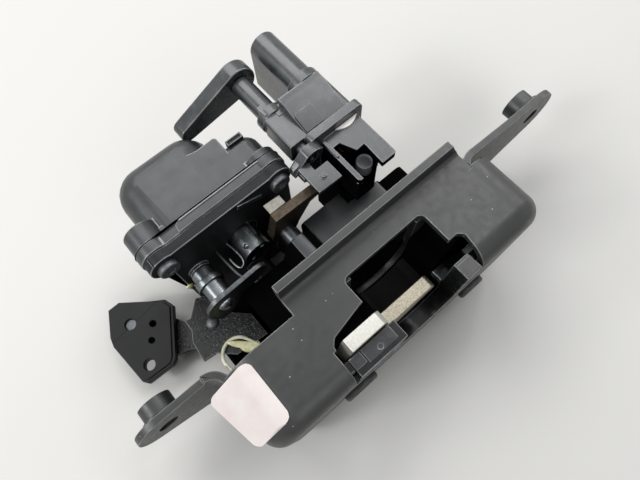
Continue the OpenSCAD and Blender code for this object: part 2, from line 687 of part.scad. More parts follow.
module release_pivot() color("#a7a8a6") placed() {
    bar(release_x, release_z, 2.5, carrier_y1 - 8, release_y1 + seat_gap);
    bar(release_x, release_z, 3.6, release_y1 + seat_gap, release_y1 + 1.4);
}
// Steel blade of the release lever, bare where the paint was masked
module release_blade() color("#7d6f5f") placed() difference() {
    union() {
        bar(release_x, release_z, 5, release_y0, release_y1);
        along_y(release_y0, release_y1) polygon([[release_x - 4.6, release_z + 1],
            [release_x - 2.4, top_z - 4.6], [-1, top_z - 5.4], [4.1, top_z - 4.6], [4.1, top_z - 7.6],
            [-4, top_z - 8.6], [release_x + 4.8, release_z - 1], [release_x + 3, release_z - 3],
            [release_x - 3, release_z - 3]]);
    }
    bar(release_x, release_z, 2.5 + run_gap, release_y0 - 1, release_y1 + 1);
}
// Bright tongue bent over at the blade's left end
module release_tongue() color("#c9c7bf") placed() along_z(top_z - 5.4, top_z - 4.6)
    polygon([[-16.2, release_y1], [-16.2, 25.4], [-10.6, 25], [-10.6, release_y1]]);
module release_tab() color("#1d1f21") placed() {
    along_z(top_z - 1.4, top_z) {
        polygon([[-2.7, 16], [-2.7, 22.3], [5.6, 22.3], [5.6, 15.8]]);
        at(-2.7, 22) square([3.7, 3.4]);
    }
    along_y(release_y0, release_y1) at(1.6, top_z - 4.6) square([2.5, 3.4]);
    translate([1.6, 19.2, top_z]) cylinder(h = 0.9, r = 0.9);
}

// Section of the motor barrel, set in by g
module barrel_outline(g) {
    at(barrel_x, barrel_z) circle(barrel_r - g);
    at(barrel_x, barrel_z - barrel_drop) circle(barrel_r - g);
    at(barrel_x - barrel_r + g, barrel_z - barrel_drop) square([2 * (barrel_r - g), barrel_drop]);
}
// Housing of the release motor with its bearing tube and the connector
module release_housing() color("#34373a") placed() difference() {
    union() {
        along_y(box_y0, box_y1) rrect(unit_x, unit_top - 24, unit_x1, unit_top, 1.2);
        along_y(flange_y0, box_y0) rrect(unit_x - 1, unit_top - 26, unit_x1 + 1.5, unit_top + 1.5, 2);
        along_y(box_y1 - 1, barrel_y1) barrel_outline(0);
        along_y(box_y1, box_y1 + 3) barrel_outline(-0.9);
        along_z(top_z - 2.6, top_z) rrect(8, 11.2, 22.4, flange_y0 + 0.5, 1);
        along_z(top_z - 13.3, top_z - 2) polygon([[8, 11.4], [15, 11.4], [20.6, 16.4],
            [20.6, flange_y0 + 0.5], [8, flange_y0 + 0.5]]);
        along_y(carrier_y1, box_y0) rrect(8, bottom_z + 12, 17.5, top_z - 17, 1);
        along_y(flange_y0 - 4, box_y0) rrect(9, top_z - 20, 17, top_z - 12, 1);
        along_y(box_y0, 43) rrect(-0.6, arm_z - 4.4, unit_x + 1, arm_z + 3.6, 0.8);
        bar(arm_x, arm_z, 3.3, 43, lever_y0 - seat_gap);
        bar(arm_x, arm_z, 4.6, 43, 46);
        along_y(box_y1, box_y1 + 3.5) rrect(unit_x + 2, unit_top - 16, barrel_x, unit_top - 1.5, 1);
    }
    bar(arm_x, arm_z, shaft_r + run_gap, 20, 70);
    along_y(box_y1 + 1, barrel_y1 - 1.6) barrel_outline(1.2);
    along_z(top_z - 11.7, top_z - 1.6) polygon([[9.6, 10], [14.4, 10], [19.1, 16],
        [19.1, flange_y0 - 2], [9.6, flange_y0 - 2]]);
    along_z(top_z - 4, top_z + 1) polygon([[9.6, 24.2], [12, 24.2], [14.2, 19.1], [17.2, 19.3],
        [16.8, 10], [9.6, 10]]);
}
module release_motor() color("#8d9092") placed() along_y(box_y1 + 1, barrel_y1 - 2) barrel_outline(1.2 + seat_gap / 2);
module connector_pins() color("#b99a4a") placed() for (i = [0:2], k = [0:1]) {
    translate([10.8 + 2.6 * i, 24.4, top_z - 10.4 + 2.8 * k]) cube([0.6, flange_y0 - 26.4, 0.6]);
}
// Round post inside the connector, with a rim round its flat end
module cover_plug() color("#85888a") placed() translate([16.2, 17.6, top_z - 11.7]) difference() {
    cylinder(h = 4.8, r = 2.6);
    translate([0, 0, 4.4]) cylinder(h = 1, r = 2.1);
}

module manual_shaft() color("#a7a8a6") placed() difference() {
    bar(arm_x, arm_z, shaft_r, 26.2, lever_y1 - 1.4);
    bar(arm_x, arm_z, 1, 25, 27.4);
}
// Glossy arm of the manual release
module manual_lever() color("#1a1b1d") placed() difference() {
    along_y(lever_y0, lever_y1) link2d(arm_x, arm_z, 5.8, arm_x - arm_reach + 1, arm_z - 6, 3);
    bar(arm_x, arm_z, shaft_r, 58, lever_y1 - 1.4);
}
// Crank at the inner end of the shaft with the finger that lifts the tab
module crank_clip() color("#1d1f21") placed() {
    along_y(26.2, 28) difference() {
        union() {
            link2d(arm_x, arm_z, 4.2, arm_x - 5.4, arm_z - 1.4, 2, 0.96);
            at(arm_x - 6.6, arm_z - 4.2) square([4, 3.4]);
        }
        at(arm_x, arm_z) circle(shaft_r);
    }
    bar(arm_x - 5, arm_z - 1.8, 1.2, 22.6, 26.3);
}

base_plate();
ear_collar_left();
ear_collar_right();
origin_label();
striker_guide();
latch_housing();
striker_bumper();
back_plate();
fork_pivot();
fork_bolt();
fork_spring();
pawl_pivot();
pawl();
pawl_spring();
carrier();
side_bracket();
bracket_rivet();
paddle_lever();
paddle_rivet();
wire_spring();
gear_case();
gear_cover();
case_screws();
cinch_motor();
worm();
output_wheel();
output_hub();
cinch_shaft();
cinch_hub();
cinch_arm();
release_pivot();
release_blade();
release_tongue();
release_tab();
release_housing();
release_motor();
connector_pins();
cover_plug();
manual_shaft();
manual_lever();
crank_clip();
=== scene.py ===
# %% [markdown]
# # A power tailgate latch
# The latch has a pressed steel tray with two ears, a mouth for the striker, a
# fork and a pawl inside it, and a moulded gear unit and a release unit behind.
# The solids come ready from the CAD model. This lesson gives them rounded
# edges and finishes, and adds the small moulded features that they leave out.
# It never moves or resizes them. Places are in millimetres, in the CAD frame.

# %% Load the solids
import json
import math

import bmesh
import bpy
from mathutils import Matrix, Vector
from mathutils.bvhtree import BVHTree

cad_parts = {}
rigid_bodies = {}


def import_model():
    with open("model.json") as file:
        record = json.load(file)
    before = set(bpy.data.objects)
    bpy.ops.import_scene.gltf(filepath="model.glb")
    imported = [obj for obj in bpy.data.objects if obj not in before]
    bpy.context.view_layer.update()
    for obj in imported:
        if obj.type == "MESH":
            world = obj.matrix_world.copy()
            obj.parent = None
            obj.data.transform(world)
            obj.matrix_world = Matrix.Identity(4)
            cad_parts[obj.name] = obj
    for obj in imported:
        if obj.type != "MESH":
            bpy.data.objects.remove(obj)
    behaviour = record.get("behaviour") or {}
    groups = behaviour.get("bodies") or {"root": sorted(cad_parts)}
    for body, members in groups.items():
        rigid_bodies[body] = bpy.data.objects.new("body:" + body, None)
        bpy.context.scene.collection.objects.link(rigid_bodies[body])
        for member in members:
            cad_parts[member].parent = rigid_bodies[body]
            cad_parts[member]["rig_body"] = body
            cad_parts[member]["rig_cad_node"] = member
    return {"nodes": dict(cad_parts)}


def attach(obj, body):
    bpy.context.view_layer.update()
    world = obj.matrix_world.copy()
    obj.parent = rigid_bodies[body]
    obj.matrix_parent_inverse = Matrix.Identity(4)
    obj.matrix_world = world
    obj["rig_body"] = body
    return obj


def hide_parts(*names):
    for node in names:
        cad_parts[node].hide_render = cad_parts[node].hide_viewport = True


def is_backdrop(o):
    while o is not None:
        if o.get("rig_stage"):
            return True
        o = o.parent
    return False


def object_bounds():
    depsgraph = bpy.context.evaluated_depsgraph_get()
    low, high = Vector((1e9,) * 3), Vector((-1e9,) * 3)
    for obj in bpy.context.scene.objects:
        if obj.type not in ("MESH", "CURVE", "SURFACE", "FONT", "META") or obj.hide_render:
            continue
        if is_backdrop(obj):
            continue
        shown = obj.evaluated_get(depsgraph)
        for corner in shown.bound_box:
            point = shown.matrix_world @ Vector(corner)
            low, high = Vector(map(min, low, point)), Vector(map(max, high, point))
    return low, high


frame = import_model()
solids_box = [list(corner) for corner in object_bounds()]
MM = 0.001
print("solids loaded:", len(frame["nodes"]))
print("their box, mm:", [[round(v / MM, 1) for v in corner] for corner in solids_box])

# %% [markdown]
# ## The camera
# The photograph looks steeply down on the latch from in front. The view was
# worked out from features whose places are known, as three directions and a
# point. Three angles could turn the camera too, but a matrix takes the
# directions as they are. A lens of 28.125 mm on a 36 mm sensor gives 500 pixels
# of focal length in a picture 640 pixels wide.

# %% Place the camera
view_right = Vector((0.7561, -0.6540, -0.0244)).normalized()
view_up = Vector((0.6211, 0.7052, 0.3419)).normalized()
view_back = view_right.cross(view_up).normalized()
view_up = view_back.cross(view_right)
eye = Vector((-42.9, -31.3, 156.9)) * MM
turn = Matrix((view_right, view_up, view_back)).transposed().to_4x4()
bpy.ops.object.camera_add()
camera = bpy.context.object
camera.name = "photo_camera"
camera.matrix_world = Matrix.Translation(eye) @ turn
camera.data.lens = 28.125
camera.data.sensor_width = 36
camera.data.clip_start = 0.01
bpy.context.scene.camera = camera
print("camera at", [round(v / MM, 1) for v in eye], "mm")
print("it looks down by", round(math.degrees(math.asin(view_back.z))), "degrees")

# %% [markdown]
# ## Colours and nodes
# A colour is picked on a screen as an sRGB hex value, but a shader counts light
# in linear numbers, so one function turns the first into the second. A material
# is a net of nodes. One more function adds a node of any kind, sets its inputs
# and links them, so that a whole pattern reads from top to bottom.

# %% Helpers for colours and nodes
def linear(hex_colour):
    """Turns an sRGB hex value into the linear colour that a shader wants."""
    parts = [int(hex_colour[i:i + 2], 16) / 255 for i in (1, 3, 5)]
    return [p / 12.92 if p <= 0.04045 else ((p + 0.055) / 1.055) ** 2.4 for p in parts] + [1.0]


def add_node(tree, kind, inputs=None, **settings):
    """Adds a shader node, sets its properties, and sets or links its inputs."""
    made = tree.nodes.new(kind)
    for name, value in settings.items():
        setattr(made, name, value)
    for name, value in (inputs or {}).items():
        if isinstance(value, bpy.types.NodeSocket):
            tree.links.new(value, made.inputs[name])
        else:
            made.inputs[name].default_value = value
    return made


def new_material(name):
    """A node material with nothing in it but its output node."""
    material = bpy.data.materials.new(name)
    material.use_nodes = True
    material.node_tree.nodes.clear()
    return material, material.node_tree, add_node(material.node_tree, "ShaderNodeOutputMaterial")


print("mid grey in linear light:", round(linear("#808080")[0], 3))

# %% [markdown]
# ## The floor
# The latch lies on pale, matt studio paper, which shows its outline and takes
# its shadow. A curved backdrop would also do, but from above only the floor is
# seen, so one large face is enough. It lies a little below the lowest solid.

# %% Studio paper
floor_gap = 0.6
floor_z = solids_box[0][2] - floor_gap * MM
bpy.ops.object.select_all(action="DESELECT")
bpy.ops.mesh.primitive_plane_add(size=3, location=(0, 0, floor_z))
floor = bpy.context.object
floor.name = "floor"
floor_paper, tree, out = new_material("studio_paper")
paper = add_node(tree, "ShaderNodeBsdfDiffuse", {"Color": linear("#cecdca")})
tree.links.new(paper.outputs[0], out.inputs["Surface"])
floor.data.materials.append(floor_paper)
floor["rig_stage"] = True
print("floor at", round(floor_z / MM, 1), "mm")

# %% [markdown]
# ## The room
# Such a part is shown in a white room, which its gloss mirrors. A world of one
# strong white would flatten every shadow, so the room's own light is faint.
# Light Path tells the rays apart: where the camera sees the room, or where it
# shows in gloss or through something clear, it is plain white.

# %% White room
world = bpy.data.worlds.new("studio")
bpy.context.scene.world = world
world.use_nodes = True
tree = world.node_tree
tree.nodes.clear()
path = add_node(tree, "ShaderNodeLightPath")
soft = add_node(tree, "ShaderNodeBackground", {"Color": linear("#eef1f5"), "Strength": 0.2})
white = add_node(tree, "ShaderNodeBackground", {"Color": linear("#ffffff"), "Strength": 1.0})
seen = path.outputs["Is Camera Ray"]
for ray in ("Is Glossy Ray", "Is Transmission Ray"):
    seen = add_node(tree, "ShaderNodeMath", {0: seen, 1: path.outputs[ray]}, operation="MAXIMUM").outputs[0]
mix = add_node(tree, "ShaderNodeMixShader", {0: seen, 1: soft.outputs[0], 2: white.outputs[0]})
add_node(tree, "ShaderNodeOutputWorld", {"Surface": mix.outputs[0]})
print("nodes of the room:", len(tree.nodes))

# %% [markdown]
# ## The lamps
# In the photograph flat tops carry a broad sheen and round parts carry small
# glints. A large soft lamp behind the latch gives the sheen, lamps at the sides
# open up the walls, and two small ones put glints on the shafts. Faces that
# look straight at the lamps render a little lighter than they are written, so
# the paper, the label and the worn steel are written a shade darker.

# %% Soft lamps
def soft_lamp(name, place, aim, width, depth, watts):
    """A rectangular area lamp that faces a point."""
    bpy.ops.object.light_add(type="AREA", location=Vector(place) * MM)
    lamp = bpy.context.object
    lamp.name = name
    lamp.data.shape = "RECTANGLE"
    lamp.data.size = width * MM
    lamp.data.size_y = depth * MM
    lamp.data.energy = watts
    lamp.rotation_euler = (Vector(aim) - Vector(place)).to_track_quat("-Z", "Y").to_euler()


soft_lamp("rear_softbox", (50, 400, 560), (-5, 25, 10), 560, 300, 2.3)
soft_lamp("rear_strip", (120, 620, 330), (0, 30, 20), 520, 50, 1.1)
soft_lamp("right_overhead", (330, 40, 600), (10, 0, 20), 260, 300, 1.1)
soft_lamp("right_rim", (520, 90, 230), (40, 0, 15), 220, 140, 0.5)
soft_lamp("left_softbox", (-470, 130, 350), (-20, 20, 15), 420, 170, 1.5)
soft_lamp("left_spark", (-477, 113, 403), (-27, 23, 18), 90, 90, 0.7)
soft_lamp("right_spark", (380, 190, 460), (5, 40, 30), 90, 60, 0.4)
soft_lamp("front_fill", (-60, -420, 420), (0, 0, 10), 360, 260, 0.6)
bpy.context.scene.view_settings.view_transform = "Standard"
powers = [lamp.energy for lamp in bpy.data.lights]
print("lamps:", len(powers), "with", round(sum(powers), 1), "watts in all")

# %% [markdown]
# ## Finishes
# Nearly all of the latch is black, so the finishes differ in gloss and grain
# more than in colour. Each one starts from the real material and from how its
# surface was made. Patterns read Object coordinates, which are in metres, so a
# noise of scale 1000 has features of about a millimetre.

# %% Patterns that the finishes share
def coordinates(tree):
    """Object coordinates of the piece, in metres."""
    return add_node(tree, "ShaderNodeTexCoord").outputs["Object"]


def blotches(tree, size_mm, detail=3.0, rough=0.55):
    """A noise whose features are about size_mm wide."""
    return add_node(tree, "ShaderNodeTexNoise", {
        "Vector": coordinates(tree), "Scale": 1 / (size_mm * MM), "Detail": detail, "Roughness": rough,
    }).outputs[0]


def grain_bump(tree, height, depth_mm, strength=1.0):
    """Turns a grey pattern into a surface relief that is depth_mm deep."""
    return add_node(tree, "ShaderNodeBump", {
        "Height": height, "Strength": strength, "Distance": depth_mm * MM,
    }).outputs[0]


def ramp(tree, factor, stops):
    """A colour ramp through (position, hex colour) pairs."""
    made = add_node(tree, "ShaderNodeValToRGB", {"Fac": factor})
    while len(made.color_ramp.elements) < len(stops):
        made.color_ramp.elements.new(0.5)
    for element, (place, colour) in zip(made.color_ramp.elements, stops):
        element.position = place
        element.color = linear(colour)
    return made.outputs[0]


def spread(tree, factor, low, high):
    """Maps the middle of a 0 to 1 pattern onto a range, for roughness."""
    return add_node(tree, "ShaderNodeMapRange", {
        "Value": factor, "From Min": 0.3, "From Max": 0.7, "To Min": low, "To Max": high,
    }).outputs[0]


def finish(name, **parts):
    """A Principled material; each part is a number, a colour or a pattern for one socket."""
    material, tree, out = new_material(name)
    shader = add_node(tree, "ShaderNodeBsdfPrincipled")
    tree.links.new(shader.outputs[0], out.inputs["Surface"])
    for socket, value in parts.items():
        socket = socket.replace("_", " ")
        if callable(value):
            tree.links.new(value(tree), shader.inputs[socket])
        else:
            shader.inputs[socket].default_value = value
    return material


# %% [markdown]
# ### Coated steel
# The tray is deep-drawn steel with an electrophoretic coat: thin, even, dark
# grey and satin, with a faint mottle from the rolled sheet. The bracket has a
# wrinkle coat, whose skin has shrunk into fine folds. The tray carries specks
# of dust, and the bracket carries pale specks that are painted glints. Small
# balls could be scattered for them, but a pattern costs no faces: a speck is
# the middle of a Voronoi cell, and only some cells have one.

# %% Coats with dust
clean_share = 0.55


def specks(tree, colour, dust_and_glint, every_mm, size):
    """Scatters small pale flecks, dust on the tray and painted glints on the bracket, and leaves some cells
    clean.
    """
    scale = 1 / (every_mm * MM)
    cells = add_node(tree, "ShaderNodeTexVoronoi", {"Vector": coordinates(tree), "Scale": scale})
    near = add_node(tree, "ShaderNodeMath", {0: cells.outputs["Distance"], 1: size}, operation="LESS_THAN")
    chance = add_node(tree, "ShaderNodeSeparateColor", {"Color": cells.outputs["Color"]}).outputs["Red"]
    some = add_node(tree, "ShaderNodeMath", {0: chance, 1: clean_share}, operation="GREATER_THAN")
    both = add_node(tree, "ShaderNodeMath", {0: near.outputs[0], 1: some.outputs[0]}, operation="MULTIPLY")
    inputs = {"Fac": both.outputs[0], "Color1": colour, "Color2": linear(dust_and_glint)}
    return add_node(tree, "ShaderNodeMixRGB", inputs).outputs[0]


# Electrocoat: a broad satin sheen with a soft mottle, and dust every few millimetres.
ecoat_greys = [(0.3, "#1b1c1c"), (0.55, "#222323"), (0.75, "#292a29")]
ecoat = finish(
    "black_ecoat_steel", Metallic=0.0, IOR=1.5,
    Base_Color=lambda t: specks(t, ramp(t, blotches(t, 9, 5), ecoat_greys), "#a8a8a2", 2.2, 0.07),
    Roughness=lambda t: spread(t, blotches(t, 2.2, 4), 0.36, 0.5),
    Normal=lambda t: grain_bump(t, blotches(t, 0.5, 2), 0.01, 0.3),
)
# Wrinkle coat: near black, glossy and folded, so it breaks every reflection into crumbs;
# its pale specks are painted glints.
wrinkle_greys = [(0.3, "#08090a"), (0.7, "#121417")]
wrinkle = finish(
    "wrinkle_coat_steel", Metallic=0.0, IOR=1.5, Specular_IOR_Level=0.32,
    Base_Color=lambda t: specks(t, ramp(t, blotches(t, 3), wrinkle_greys), "#8d9397", 0.75, 0.15),
    Roughness=lambda t: spread(t, blotches(t, 1), 0.16, 0.3),
    Normal=lambda t: grain_bump(t, blotches(t, 0.8, 4, 0.6), 0.3, 1.0),
)
print("coats:", ecoat.name, wrinkle.name)

# %% [markdown]
# ### Moulded plastics
# The case, the release unit and the levers are nylon, and the guide block is
# acetal. A spark-eroded mould leaves them satin, and a polished one leaves them
# glossy. All have an IOR of about 1.5, so one function makes them. It takes two
# near colours, the roughness, the width and depth of the grain, and the
# shine, which is the Specular level. A real mould grain is about 0.1 mm wide.
# It would not show, so it is drawn four or more times as coarse.

# %% Plastics and rubber
def moulded(name, dark, light, rough, grain_mm, grain_depth, shine=0.5):
    """A moulded plastic: two near colours, its gloss, and the grain of its mould."""
    return finish(
        name, Metallic=0.0, IOR=1.5, Specular_IOR_Level=shine,
        Base_Color=lambda t: ramp(t, blotches(t, 6, 4), [(0.35, dark), (0.65, light)]),
        Roughness=lambda t: spread(t, blotches(t, 3, 3), rough - 0.05, rough + 0.06),
        Normal=lambda t: grain_bump(t, blotches(t, grain_mm, 2), grain_depth, 0.5),
    )


# The dome: a soft sheen that spreads over the whole top.
nylon = moulded("glass_filled_nylon", "#191b1d", "#232628", 0.37, 0.5, 0.015)
# The front of the case: a darker copy of the dome's nylon, painted shade, with hardly a reflection.
case_nylon = moulded("shaded_case_nylon", "#101112", "#17181a", 0.46, 0.5, 0.015, 0.18)
# The release unit: smooth and handled, with clear but clouded reflections.
unit_nylon = moulded("smooth_unit_nylon", "#252a2c", "#303436", 0.28, 0.5, 0.01, 0.7)
# Deep inner walls: almost no sheen, and painted near black as the shade they lie in.
near_black_shade_nylon = moulded("painted_shade_inner_nylon", "#030303", "#050505", 0.9, 0.4, 0.03, 0.02)
# Ear collars: even, dark and satin.
nylon_dark = moulded("dark_moulded_nylon", "#17181a", "#1e2021", 0.42, 0.4, 0.012)
# The paddle: a coarser grain and a dull charcoal face.
paddle_nylon = moulded("paddle_nylon", "#0c0d0e", "#121314", 0.5, 0.4, 0.02, 0.22)
# Pads that the striker rubs: grey and silky.
pad_acetal = moulded("satin_black_acetal", "#1e2124", "#2a2d30", 0.26, 0.6, 0.003)
# The guide block: black with sharp glints.
acetal = moulded("polished_black_acetal", "#0b0c0d", "#111213", 0.22, 0.6, 0.003, 0.35)
# The hand lever and the crank: smooth, with long clear highlights.
lever_plastic = moulded("smooth_black_nylon", "#1f2325", "#2b2f31", 0.25, 0.8, 0.004, 0.65)
# The post in the connector: painted pale grey as light, so that it shows in its dark pocket.
painted_light_post_nylon = moulded("pale_painted_light_post_nylon", "#a0a3a6", "#b2b5b8", 0.35, 0.8, 0.004)
# The worm wheel is left uncoloured: a creamy white.
white_gear = moulded("natural_acetal", "#d6cfba", "#e4dfcf", 0.4, 0.8, 0.01)
# Rubber swallows the light.
rubber = moulded("moulded_rubber", "#060606", "#0a0a0a", 0.8, 0.5, 0.03, 0.15)
# Corners of the plastics: a painted highlight, pale and smooth, as a thin bright outline.
painted_highlight = moulded("painted_highlight_nylon_edge", "#4a4d4f", "#6a6d6f", 0.26, 0.8, 0.004, 0.9)
# Corners of coated steel get a painted highlight too, a little duller and more neutral.
painted_highlight_coat = moulded("painted_highlight_coat_edge", "#454747", "#5e6060", 0.3, 0.8, 0.004, 0.8)
# A painted highlight at the shroud's rim: clean white, and matt.
rim_highlight_white = moulded("painted_rim_highlight_white", "#e6e5df", "#f1f0ec", 0.45, 1.0, 0.01)
print("plastics and rubber made, finishes so far:", len(bpy.data.materials))

# %% [markdown]
# ### Bare and plated metal
# Plating, oil and phosphate all leave flecks of two near colours on steel, so
# one function makes these finishes too. It takes the colours, the roughness and
# the width of a fleck. The surface relief is rolled or drawn texture, drawn
# coarser than real so that it shows.

# %% Metals
def plated(name, dark, light, rough, fleck_mm):
    """A metal skin: two near colours in flecks of one size, and its gloss."""
    return finish(
        name, Metallic=1.0,
        Base_Color=lambda t: ramp(t, blotches(t, fleck_mm, 6, 0.7), [(0.35, dark), (0.6, light)]),
        Roughness=lambda t: spread(t, blotches(t, 2 * fleck_mm, 3), rough - 0.06, rough + 0.1),
        Normal=lambda t: grain_bump(t, blotches(t, 0.3, 3), 0.015, 0.4),
    )


# Zinc plate on the pawl, a shaft and the motor cans: bluish and softly clouded.
zinc = plated("zinc_plated_steel", "#8d9296", "#b9bdbf", 0.33, 1.2)
# The tongue of the release lever: zinc plated strip that use has dulled.
bright = plated("bright_zinc_strip", "#64625c", "#7c7a73", 0.5, 0.6)
# The striker has rubbed the hook: even, pale, and partly oxidised, so not all metal.
worn = finish(
    "worn_bright_steel", Metallic=0.75,
    Base_Color=lambda t: ramp(t, blotches(t, 0.6, 5), [(0.3, "#a6a59e"), (0.6, "#b5b4ae")]),
    Roughness=0.5,
)
# Oiled lever steel: dark, with soft reflections.
dark_steel = plated("oiled_dark_steel", "#3b3d3f", "#55585a", 0.4, 1.5)
# Drawn spring wire: grey, and brighter than the levers.
spring_steel = plated("oiled_spring_wire", "#6d7072", "#8f9293", 0.34, 0.8)
# Black oxide on screws and rivets: dull, with steel showing through.
screw_steel = plated("blackened_screw_steel", "#4a4c4e", "#66696b", 0.5, 0.6)
# Tinned brass of the worm and the pins: warm yellow.
brass = plated("tinned_brass", "#a78a45", "#c9ac62", 0.3, 0.8)
# The fork: steel under a dry film of oil, tan with fine dark specks.
fork_skin = plated("speckled_fork_steel", "#726d61", "#9e998a", 0.46, 0.45)
# The release blade: phosphated strip, dark brown and matt.
brown_strip = plated("brown_phosphate_strip", "#2f2a24", "#4a4239", 0.5, 0.9)
# The drum and the hub: burnished black steel, with broad clear reflections.
burnished = plated("burnished_black_drum", "#55595b", "#6c7072", 0.3, 2.5)
print("metals made, finishes so far:", len(bpy.data.materials))

# %% [markdown]
# ### Grease
# Lithium grease is a pale yellow film with a wet skin. A clear coat over a
# softer base gives that wet look better than a low roughness alone.

# %% Greases
greased = finish(
    "greased_spring_wire", Metallic=0.0, IOR=1.46, Coat_Weight=0.6, Coat_Roughness=0.12,
    Base_Color=lambda t: ramp(t, blotches(t, 2.5, 4), [(0.35, "#a9a78c"), (0.6, "#d8d7be")]),
    Roughness=0.35,
    Normal=lambda t: grain_bump(t, blotches(t, 1.2, 3), 0.15, 0.8),
)
grease = finish(
    "yellow_grease", Metallic=0.0, IOR=1.47, Coat_Weight=0.5, Coat_Roughness=0.1,
    Base_Color=lambda t: ramp(t, blotches(t, 1.5, 3), [(0.35, "#bdbb8c"), (0.65, "#e2e0b4")]),
    Roughness=0.32,
)
print("greases:", greased.name, grease.name)

# %% [markdown]
# ### The blank label
# A vinyl label is off-white with a little pink, matt, and almost without grain.
# One flat colour would look like card, so a slow change of tone and a very
# faint wave are added. Its text is left out, so it stays bare.

# %% Label vinyl
label_vinyl = finish(
    "matt_label_vinyl", Metallic=0.0, IOR=1.46,
    Base_Color=lambda t: ramp(t, blotches(t, 7, 3), [(0.3, "#cabebb"), (0.7, "#d1cbc8")]),
    Roughness=lambda t: spread(t, blotches(t, 2), 0.5, 0.6),
    Normal=lambda t: grain_bump(t, blotches(t, 4, 2), 0.05, 0.3),
)
print("finishes:", len(bpy.data.materials))

# %% [markdown]
# ## Rounded edges
# A real moulding or pressing has no sharp edges. Each one catches a thin line
# of light, and on the plastics and the coats that line is also painted on, as a
# paler finish than the faces beside it. Edges could be bevelled one by one, but
# a Bevel modifier does all that turn by more than 30 degrees, and gives its
# narrow new faces a second finish. Its clamp is off, because one short edge
# would keep all the others sharp. Where short edges meet it can then throw a
# point far off, so such points are put back onto the surface as it was.

# %% Round the edges of a piece
bevel_above, smooth_below = math.radians(30), math.radians(38)


def only(piece):
    """Selects one object and nothing else."""
    bpy.ops.object.select_all(action="DESELECT")
    piece.hide_viewport = False
    piece.select_set(True)
    bpy.context.view_layer.objects.active = piece


def surface_of(piece):
    """A search tree of a piece's faces, as they are now."""
    shape = bmesh.new()
    shape.from_mesh(piece.data)
    tree = BVHTree.FromBMesh(shape)
    shape.free()
    return tree


def pull_back(piece, before, most_mm):
    """Puts points that a bevel threw off the sharp surface back onto it."""
    stray = 0
    for vertex in piece.data.vertices:
        near, _, _, gap = before.find_nearest(vertex.co)
        if gap > most_mm * MM:
            vertex.co = near
            stray += 1
    if stray:
        print(piece.name, "stray points pulled back:", stray)


def round_edges(piece, edge_mm, material):
    """Gives a piece its finish, and bevels its edges with their own finish."""
    piece.data.materials.clear()
    piece.data.materials.append(material)
    only(piece)
    if edge_mm:
        piece.data.materials.append(edge_finish.get(material, material))
        before = surface_of(piece)
        bevel = piece.modifiers.new("edges", "BEVEL")
        bevel.width = edge_mm * MM
        bevel.segments = 2
        bevel.limit_method = "ANGLE"
        bevel.angle_limit = bevel_above
        bevel.use_clamp_overlap = False
        bevel.material = 1
        bpy.ops.object.modifier_apply(modifier=bevel.name)
        pull_back(piece, before, 1.2 * edge_mm)
    bpy.ops.object.shade_smooth_by_angle(angle=smooth_below)
    weighted = piece.modifiers.new("flat_faces", "WEIGHTED_NORMAL")
    weighted.keep_sharp = True
    bpy.ops.object.modifier_apply(modifier=weighted.name)


# The bevelled edges of these finishes are painted pale as a thin highlight.
plastics_with_painted_highlight = (nylon, unit_nylon, case_nylon, acetal, pad_acetal, lever_plastic)
edge_finish = {plastic: painted_highlight for plastic in plastics_with_painted_highlight}
edge_finish.update({coat: painted_highlight_coat for coat in (ecoat, wrinkle)})
print("finishes with rubbed edges:", len(edge_finish))

# %% [markdown]
# ## Cutting and drawing tools
# A small recess is cut with a Boolean, and a small moulding is an outline that
# is filled and extruded. Both keep the flat faces and square corners of a part
# from a machined mould, which a sculpted shape would lose.

# %% Tools for recesses and outlines
def carve(piece, cutter):
    """Cuts one object out of another and removes the cutter."""
    cut = piece.modifiers.new("recess", "BOOLEAN")
    cut.operation = "DIFFERENCE"
    cut.solver = "EXACT"
    cut.object = cutter
    only(piece)
    bpy.ops.object.modifier_apply(modifier=cut.name)
    only(cutter)
    bpy.ops.object.delete()


def prism(name, outline, travel):
    """Fills an outline of points and extrudes it."""
    bpy.ops.object.select_all(action="DESELECT")
    bpy.ops.mesh.primitive_circle_add(vertices=len(outline), radius=MM, fill_type="NGON")
    piece = bpy.context.object
    piece.name = name
    for vertex, point in zip(piece.data.vertices, outline):
        vertex.co = Vector(point) * MM
    bpy.ops.object.mode_set(mode="EDIT")
    bpy.ops.mesh.select_all(action="SELECT")
    bpy.ops.mesh.extrude_region_move(TRANSFORM_OT_translate={"value": Vector(travel) * MM})
    bpy.ops.mesh.select_all(action="SELECT")
    bpy.ops.mesh.normals_make_consistent(inside=False)
    bpy.ops.object.mode_set(mode="OBJECT")
    return piece


def level(height, *points):
    """A flat outline at one height."""
    return [(x, y, height) for x, y in points]


def slab(name, low, high):
    """A prism over the rectangle between two corners."""
    (x0, y0, z0), (x1, y1, z1) = low, high
    return prism(name, level(z0, (x0, y0), (x1, y0), (x1, y1), (x0, y1)), (0, 0, z1 - z0))


def drill(place, direction, radius, depth):
    """A round cutter that reaches as far as depth to both sides of a place."""
    bpy.ops.object.select_all(action="DESELECT")
    bpy.ops.mesh.primitive_cylinder_add(vertices=24, radius=radius * MM, depth=2 * depth * MM)
    tool = bpy.context.object
    turn = Vector(direction).normalized().to_track_quat("Z", "Y").to_matrix().to_4x4()
    tool.data.transform(Matrix.Translation(Vector(place) * MM) @ turn)
    return tool


# %% [markdown]
# ## Dress the solids
# A solid must stay as it is, so a copy is shaped and shown in its place. The
# mesh of a solid is loose triangles. In the copy they are merged, and flat ones
# are joined, so that the bevel meets real edges only. The drum is the one piece
# with recesses: a keyway and a pin hole, cut before its edges are rounded.

# %% Dress one solid
merge_mm, flat_turn = 0.002, math.radians(0.5)


